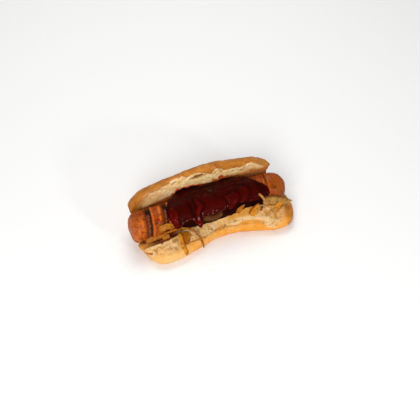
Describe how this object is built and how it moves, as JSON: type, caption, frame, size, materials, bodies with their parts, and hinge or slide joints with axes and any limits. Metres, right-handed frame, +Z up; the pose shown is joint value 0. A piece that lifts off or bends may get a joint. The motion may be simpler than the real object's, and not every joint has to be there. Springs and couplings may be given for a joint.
{
  "type": "currywurst roll",
  "caption": "Opened long bread roll holding a scored grilled sausage under thick dark red curry sauce, with golden strips of fried onion along its front edge.",
  "frame": {"origin": "centre of the bounding box at its bottom, on the surface the roll lies on", "axes": "+X along the roll, towards the sausage's right end as seen from the open side; -Y towards the open side; +Z up"},
  "size_m": [0.1784, 0.0794, 0.0686],
  "materials": {
    "crust": "baked bread crust, smooth and golden, satin",
    "sausage": "grilled sausage skin, satin",
    "sauce": "thick glossy curry sauce",
    "onion": "fried onion, translucent and oily"
  },
  "bodies": {
    "root": {"bun": "crust", "sausage": "sausage", "sauce": "sauce", "onion_petal": "onion", "onion_strand_pale": "onion", "onion_chunk_middle": "onion", "onion_chunk_right": "onion", "onion_strand_right": "onion", "onion_wedge": "onion", "onion_under_sauce": "onion", "onion_chunk_left": "onion", "onion_strip_inner": "onion", "onion_cube": "onion", "onion_arch": "onion", "onion_strip_hanging": "onion", "onion_patch": "onion"}
  },
  "joints": []
}
